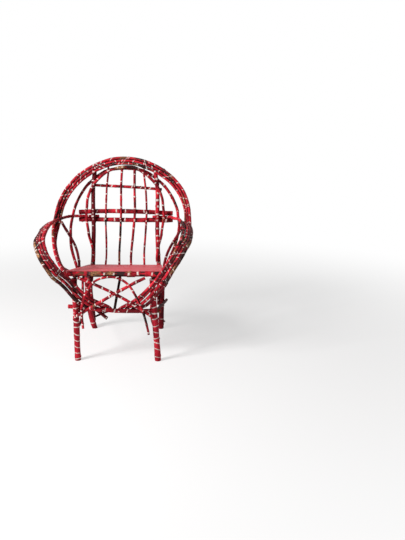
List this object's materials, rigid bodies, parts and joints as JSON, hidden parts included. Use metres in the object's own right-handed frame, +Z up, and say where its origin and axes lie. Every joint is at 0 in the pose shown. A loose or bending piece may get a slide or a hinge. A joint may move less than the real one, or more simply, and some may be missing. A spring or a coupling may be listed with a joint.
{
  "type": "armchair",
  "caption": "Rustic bent twig armchair with a board seat, a hooped back and looped arms, painted red with white dabs.",
  "frame": {"origin": "on the floor, under the middle of the chair's bounding box", "axes": "+Z up, -Y to the front of the seat, +X to the viewer's right when the chair is seen from the front"},
  "size_m": [0.6596, 0.6038, 0.8264],
  "materials": {
    "seat_boards": "worn paint",
    "seat_battens": "bare, aged",
    "seat_rods": "worn paint",
    "legs": "worn paint, white rings",
    "back_posts": "worn paint, white rings",
    "back_band": "worn paint, white dabs",
    "hoops": "worn paint, white dabs",
    "spindles": "worn paint",
    "back_rails": "worn paint, white dabs",
    "arm_rods": "worn paint, white dabs",
    "arm_loops": "worn paint",
    "rungs": "worn paint",
    "cross_sticks": "worn paint, white dabs",
    "arches": "worn paint, white dabs"
  },
  "bodies": {
    "root": {"seat_board_front": "seat_boards", "seat_board_middle": "seat_boards", "seat_board_back": "seat_boards", "seat_batten_left": "seat_battens", "seat_batten_right": "seat_battens", "seat_front_rod": "seat_rods", "seat_rail_left": "seat_rods", "seat_rail_right": "seat_rods", "seat_rail_back": "seat_rods", "front_leg_left": "legs", "front_leg_right": "legs", "back_leg_left": "legs", "back_leg_right": "legs", "back_post_left": "back_posts", "back_post_right": "back_posts", "back_band_outer": "back_band", "back_band_middle": "back_band", "back_band_inner": "back_band", "wide_hoop": "hoops", "narrow_hoop": "hoops", "back_spindle_1": "spindles", "back_spindle_2": "spindles", "back_spindle_3": "spindles", "back_spindle_4": "spindles", "back_rail_top": "back_rails", "back_rail_upper": "back_rails", "back_rail_lower": "back_rails", "arm_left_rod_1": "arm_rods", "arm_left_rod_2": "arm_rods", "arm_left_rod_3": "arm_rods", "arm_left_rod_4": "arm_rods", "arm_right_rod_1": "arm_rods", "arm_right_rod_2": "arm_rods", "arm_right_rod_3": "arm_rods", "arm_right_rod_4": "arm_rods", "arm_loop_left": "arm_loops", "arm_loop_right": "arm_loops", "front_rung": "rungs", "side_rung_left": "rungs", "side_rung_right": "rungs", "centre_brace": "rungs", "front_cross_stick_a": "cross_sticks", "front_cross_stick_b": "cross_sticks", "front_arch": "arches", "side_arch_left": "arches", "side_arch_right": "arches", "back_arch": "arches"}
  },
  "joints": []
}
